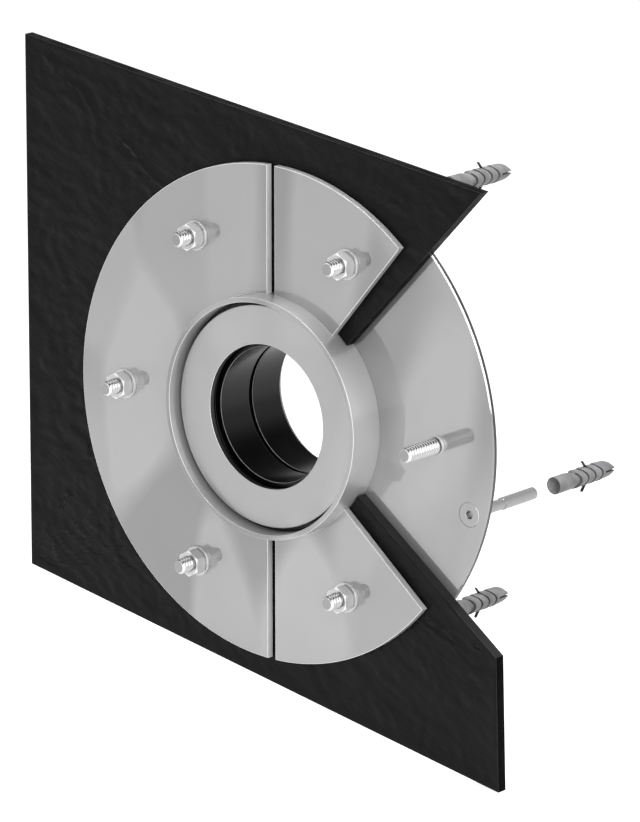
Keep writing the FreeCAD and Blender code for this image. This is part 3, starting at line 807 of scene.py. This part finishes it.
def hexagon(flats, angle):
    """Distance from the middle of a hexagon to its edge at an angle, with a corner at angle 0."""
    return flats / 2 / math.cos(angle % (math.pi / 3) - math.pi / 6)


def nut_outline(angle, front, back):
    """Points (radius, depth) from a nut's bore over its front, flat and back, at an angle."""
    flat = hexagon(NUT_FLATS, angle + math.pi / 2)
    drop = max(flat - NUT_FACE, 0) * CONE_SLOPE
    face = min(flat, NUT_FACE)
    return ((STUD_RADIUS, front + BORE_EASE), (STUD_RADIUS + BORE_WIDER, front), (face, front),
            (flat, front + drop), (flat, back - drop), (face, back), (STUD_RADIUS, back))


def corner_finish(face):
    """Painted highlight on the turned-off corners and rims, and painted light on the flats."""
    if 0.2 < abs(face.normal.y) < 0.95:
        return 1
    return 2 if abs(face.normal.y) < 0.2 else 0


for number in range(2, 7):
    across, height, front, back = centre_of(f"stud_nut_{number}")
    bm = bmesh.new()
    rings = []
    for spot in range(len(nut_outline(0, front, back))):
        rings.append(add_ring(bm, (across, height), NUT_POINTS,
                              lambda angle: nut_outline(angle, front, back)[spot]))
    for ring, other in zip(rings, rings[1:] + rings[:1]):
        join_rings(bm, ring, other)
    bmesh.ops.remove_doubles(bm, verts=bm.verts, dist=MERGE)
    add_piece(f"hexagon_nut_{number}", bm, "bright_steel", [f"stud_nut_{number}"], sharp=25,
              finishes=(("highlight_steel", "lit_side_steel"), corner_finish))

    across, height, front, back = centre_of(f"stud_washer_{number}")
    turned_piece(f"flat_washer_{number}", [
        (STUD_RADIUS + WASHER_GAP, front),
        (WASHER_RADIUS, front),
        (WASHER_RADIUS, back),
        (STUD_RADIUS + WASHER_GAP, back),
    ], "bright_steel", [f"stud_washer_{number}"], (across, height), edge=0.45, segments=64,
        finishes=(("highlight_steel", "lit_side_steel"), corner_finish))

# %% [markdown]
# The wall screws are countersunk. The head lies flush in the flange, with a hexagon socket that a key
# fits. Behind it come a thinner neck and a thicker smooth end. The rings of points run from the
# socket's floor out over the head and back along the shank.

# %% Wall screws
NECK_RADIUS, NECK_END, SCREW_POINTS, HEAD_BEVEL = 4.4, 35.0, 48, 0.2
SOCKET_FLATS, SOCKET_DEPTH, SOCKET_EASE, SOCKET_WIDER, SOCKET_REACH = 6.0, 3.0, 0.35, 0.4, 3.6


def head_finish(face, centre):
    """Painted shade in the socket, satin on the head's face, a painted highlight on its broken edges,
    drawn on the shank.
    """
    away = face.center - Vector((centre[0], 0, centre[1])) * MM
    in_depth = face.center.y < (FIXED_FRONT + SOCKET_DEPTH + 0.1) * MM
    if math.hypot(away.x, away.z) < SOCKET_REACH * MM and in_depth:
        return 3
    if face.center.y > (FIXED_FRONT + 1) * MM:
        return 4
    return 1 if face.normal.y < -0.97 else 2


for word, centre in screw_places.items():
    front, back = centre_of(f"wall_screw_{word}")[2:]
    bm = bmesh.new()
    rings = []
    for wider, depth in ((0, SOCKET_DEPTH), (0, SOCKET_EASE), (SOCKET_WIDER, 0)):
        rings.append(add_ring(bm, centre, SCREW_POINTS,
                              lambda angle: (hexagon(SOCKET_FLATS, angle) + wider, front + depth)))
    outline = soften([
        (HEAD_RADIUS, front),
        (HEAD_RADIUS, front + HEAD_RIM),
        (NECK_RADIUS, front + HEAD_RIM + HEAD_RADIUS - NECK_RADIUS),
        (NECK_RADIUS, NECK_END),
        (SCREW_RADIUS, NECK_END + 0.2),
        (SCREW_RADIUS, back - 1),
        (SCREW_RADIUS - 1, back),
        (0, back),
    ], HEAD_BEVEL)[4:]
    head = [(HEAD_RADIUS - HEAD_BEVEL, front), (HEAD_RADIUS, front + HEAD_BEVEL)]
    rings += [add_circle(bm, centre, SCREW_POINTS, radius, depth) for radius, depth in head + outline]
    bm.faces.new(rings[0])
    for ring, other in zip(rings, rings[1:]):
        join_rings(bm, ring, other)
    bmesh.ops.remove_doubles(bm, verts=bm.verts, dist=MERGE)
    add_piece(f"countersunk_screw_{word}", bm, "bright_steel", [f"wall_screw_{word}"], sharp=30,
              finishes=(("satin_steel", "highlight_steel", "inner_steel", "shank_steel"),
                        lambda face: head_finish(face, centre)))

# %% [markdown]
# The dowels are moulded plastic: a plain collar with an open mouth, four humps that grip the hole, and
# two jaws that close like a bill. The humps sway around the dowel, a slit parts the jaws, and two fins
# keep the dowel from turning. One dowel is turned, swayed, pinched and slit, and its mesh is copied to
# all five places.

# %% Wall dowels
DOWEL_RADIUS, DOWEL_BORE, DOWEL_LENGTH, COLLAR_LENGTH = 7.0, 5.6, 70.0, 24.0
RIB_PITCH, RIB_COUNT, RIB_RISE, RIB_GROOVE, RIB_SWAY = 9.2, 4, 0.5, 1.1, 2.6
TIP_START, TIP_PINCH, SWAY_FADE = 60.8, 0.50, 10.0
BORE_DEPTH, BORE_END, MOUTH_DEPTH, SLIT_WIDTH = 58.0, 2.0, 14.0, 1.6
FIN_PLACE, FIN_RUN, FIN_RISE, FIN_WIDTH, FIN_FOOT, FIN_TAPER = 42.6, 6.8, 5.5, 2.4, 1.5, 0.7


def dowel_outline():
    """Closed outline (radius, depth) from the bore's end, over the mouth and humps, to the tip."""
    points = [
        (0, BORE_DEPTH),
        (BORE_END, BORE_DEPTH),
        (BORE_END, MOUTH_DEPTH + 2),
        (DOWEL_BORE, MOUTH_DEPTH),
        (DOWEL_BORE + 0.4, 0),
        (DOWEL_RADIUS - 0.3, 0),
        (DOWEL_RADIUS, 0.3),
    ]
    points += [(DOWEL_RADIUS, COLLAR_LENGTH * share) for share in (0.33, 0.66)]
    for rib in range(RIB_COUNT):
        for share in (0.0, 0.1, 0.25, 0.5, 0.75, 0.9):
            rise = RIB_RISE * math.sin(math.pi * (1 - share) ** 1.6) ** 0.8 if share else -RIB_GROOVE
            points.append((DOWEL_RADIUS + rise, COLLAR_LENGTH + (rib + share) * RIB_PITCH))
    for share in (0.0, 0.2, 0.4, 0.6, 0.8, 1.0):
        points.append((DOWEL_RADIUS, TIP_START + share * (DOWEL_LENGTH - TIP_START)))
    points.append((0, DOWEL_LENGTH))
    return points


def shape_dowel(bm):
    """Pinch the tip of a turned dowel to a bill, and sway its humps."""
    for vert in bm.verts:
        share = (vert.co.y - TIP_START) / (DOWEL_LENGTH - TIP_START)
        if share > 0:
            vert.co.z *= 1 - TIP_PINCH * share ** 3
        if math.hypot(vert.co.x, vert.co.z) > DOWEL_BORE:
            inward = min(vert.co.y - COLLAR_LENGTH / 2, DOWEL_LENGTH - vert.co.y) / SWAY_FADE
            sway = RIB_SWAY * math.cos(2 * math.atan2(vert.co.z, vert.co.x))
            vert.co.y += sway * min(max(inward, 0), 1)


def add_fin(bm, side):
    """Thin bent fin above or below a dowel."""
    rows = []
    for share in (0.0, 0.25, 0.5, 0.75, 1.0):
        depth = FIN_PLACE - FIN_RUN * share ** 0.8
        height = DOWEL_RADIUS - 1 + (FIN_RISE + 1) * share ** 1.25
        thick = FIN_FOOT - FIN_TAPER * share
        row = []
        for across, shift in ((-1, -0.5), (1, -0.5), (1, 0.5), (-1, 0.5)):
            point = (across * FIN_WIDTH / 2, depth + shift * thick, side * height)
            row.append(bm.verts.new(point))
        rows.append(row)
    for row, other in zip(rows, rows[1:]):
        for step in range(4):
            near = (step + 1) % 4
            bm.faces.new((row[step], row[near], other[near], other[step]))
    bm.faces.new(rows[0])
    bm.faces.new(rows[-1])


def crease_finish(face, front, centre):
    """Painted shade in the grooves, in the slit and on the fins, and painted light in the mouth."""
    away = face.center / MM - Vector((centre[0], front, centre[1]))
    reach = math.hypot(away.x, away.z)
    if away.y < MOUTH_DEPTH and reach < DOWEL_BORE + 0.3:
        return 2
    in_groove = away.y > COLLAR_LENGTH - 1 and reach < DOWEL_RADIUS - 0.35 and away.y < TIP_START
    in_slit = away.y > TIP_START and abs(away.z) < SLIT_WIDTH / 2 + 0.05
    return int(in_groove or in_slit or reach > DOWEL_RADIUS + RIB_RISE + 0.3)


body = bmesh.new()
turn(body, dowel_outline(), segments=64)
shape_dowel(body)
bmesh.ops.recalc_face_normals(body, faces=body.faces)
body_mesh = bpy.data.meshes.new("dowel_body")
body.to_mesh(body_mesh)
body.free()
holder = bpy.data.objects.new("dowel_body", body_mesh)
bpy.context.scene.collection.objects.link(holder)
slit = bmesh.new()
bmesh.ops.create_cube(slit, size=1.0)
bmesh.ops.scale(slit, vec=(40, DOWEL_LENGTH, SLIT_WIDTH), verts=slit.verts)
bmesh.ops.translate(slit, vec=(0, BORE_DEPTH + DOWEL_LENGTH / 2, 0), verts=slit.verts)
slotted = cut_away(holder, slit, "dowel_slit")
bpy.data.objects.remove(holder)

for word, centre in screw_places.items():
    front = centre_of(f"wall_dowel_{word}")[2]
    bm = bmesh.new()
    bm.from_mesh(slotted)
    add_fin(bm, 1)
    add_fin(bm, -1)
    bmesh.ops.translate(bm, vec=(centre[0], front, centre[1]), verts=bm.verts)
    add_piece(f"ribbed_dowel_{word}", bm, "dowel_plastic", [f"wall_dowel_{word}"], sharp=35,
              finishes=(("dowel_shade", "dowel_mouth_light"),
                        lambda face: crease_finish(face, front, centre)))

# %% [markdown]
# The set is shown on a plain white ground. A large pale floor touches its lowest corner. The floor is
# a real diffuse surface, so it keeps the object's shadow, and it adds light of its own for the camera
# and for reflections, so that it comes out white and the steel mirrors a white ground.

# %% Floor
FLOOR_GREY, FLOOR_GLOW, FLOOR_SIZE = 0.45, 0.90, 12
floor_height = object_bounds()[0][2]
bm = bmesh.new()
bmesh.ops.create_grid(bm, x_segments=12, y_segments=12, size=FLOOR_SIZE)
bmesh.ops.translate(bm, vec=(0, 0, floor_height), verts=bm.verts)
floor_mesh = bpy.data.meshes.new("studio_floor")
bm.to_mesh(floor_mesh)
bm.free()
floor = bpy.data.objects.new("studio_floor", floor_mesh)
bpy.context.scene.collection.objects.link(floor)


def calculate(tree, operation, first, second):
    """Result of a sum on two numbers or sockets."""
    return add_node(tree, "Math", {0: first, 1: second}, operation=operation).outputs["Value"]


def seen_directly(tree, level):
    """Level for camera, reflection and transmission rays, and 0 for the rest."""
    rays = add_node(tree, "LightPath").outputs
    total = rays["Is Camera Ray"]
    for ray in ("Is Glossy Ray", "Is Transmission Ray"):
        total = calculate(tree, "MAXIMUM", total, rays[ray])
    return calculate(tree, "MULTIPLY", total, level)


ground = bpy.data.materials.new("white_ground")
ground.use_nodes = True
tree = ground.node_tree
tree.nodes.remove(tree.nodes["Principled BSDF"])
matt = add_node(tree, "BsdfDiffuse", {"Color": (FLOOR_GREY, FLOOR_GREY, FLOOR_GREY, 1)})
glow = add_node(tree, "Emission", {"Strength": seen_directly(tree, FLOOR_GLOW)})
both = add_node(tree, "AddShader", {0: matt.outputs["BSDF"], 1: glow.outputs["Emission"]})
tree.links.new(both.outputs["Shader"], tree.nodes["Material Output"].inputs["Surface"])
floor.data.materials.append(ground)
print("floor at", floor_height)

# %% [markdown]
# Soft light comes from a big key lamp at the right of the camera, a weak lamp at the upper left and a
# lamp high above, which lights the upper edges and the back. The world is white where it is seen and a
# dim even fill elsewhere, and it grows darker upwards, so that the steel doesn't mirror a white ceiling.

# %% Lamps and world
WORLD_FILL, WORLD_SEEN = 0.35, 1.0


def soft_lamp(name, place, size, watts):
    """Square lamp of a size in metres that looks at the object's middle."""
    lamp = bpy.data.lights.new(name, "AREA")
    lamp.shape = "RECTANGLE"
    lamp.size = lamp.size_y = size
    lamp.energy = watts
    holder = bpy.data.objects.new(name, lamp)
    holder.location = place
    holder.rotation_euler = (-Vector(place)).to_track_quat("-Z", "Y").to_euler()
    bpy.context.scene.collection.objects.link(holder)


soft_lamp("key_lamp", (2.3, -2.2, 1.3), 3.0, 70)
soft_lamp("left_lamp", (-1.5, -2.2, 2.0), 2.0, 16)
soft_lamp("top_lamp", (0.6, 0.5, 2.8), 1.5, 110)

world = bpy.data.worlds.new("studio")
world.use_nodes = True
bpy.context.scene.world = world
tree = world.node_tree
heading = add_node(tree, "TexCoord").outputs["Generated"]
upwards = add_node(tree, "SeparateXYZ", {"Vector": heading}).outputs["Z"]
ceiling = add_node(tree, "MapRange", {
    "Value": upwards,
    "From Min": 0.15,
    "From Max": 0.6,
    "To Min": 1.0,
    "To Max": 0.12,
}, interpolation_type="SMOOTHSTEP").outputs["Result"]
level = calculate(tree, "MAXIMUM", seen_directly(tree, WORLD_SEEN), WORLD_FILL)
background = tree.nodes["Background"].inputs
background["Color"].default_value = (1, 1, 1, 1)
tree.links.new(calculate(tree, "MULTIPLY", level, ceiling), background["Strength"])
bpy.context.scene.view_settings.view_transform = "Standard"
print("lamps and world are set")

# %% [markdown]
# The camera stands far off with a long lens, to the right of the axis and a little above it. Its place
# was found by fitting the round rims and the stud tips, and it aims beside the middle of the sleeve.

# %% Camera
AZIMUTH, ELEVATION = math.radians(40.158), math.radians(15.0567)
DISTANCE, ASIDE, UPWARDS = 3.907855, 0.038284, 0.0034715
FOCAL_PIXELS, FRAME_HEIGHT = 4995.0, 822.0
back = Vector((math.sin(AZIMUTH) * math.cos(ELEVATION),
               -math.cos(AZIMUTH) * math.cos(ELEVATION), math.sin(ELEVATION)))
right = Vector((math.cos(AZIMUTH), math.sin(AZIMUTH), 0))
up = back.cross(right)
camera_data = bpy.data.cameras.new("camera")
camera_data.lens = FOCAL_PIXELS * camera_data.sensor_width / FRAME_HEIGHT
camera = bpy.data.objects.new("camera", camera_data)
aim = Vector((0, LOOSE_FRONT * MM, 0)) + right * ASIDE + up * UPWARDS
turned_frame = Matrix((right, up, back)).transposed().to_4x4()
camera.matrix_world = Matrix.Translation(aim + back * DISTANCE) @ turned_frame
bpy.context.scene.collection.objects.link(camera)
bpy.context.scene.camera = camera
print("camera lens", round(camera_data.lens, 2))
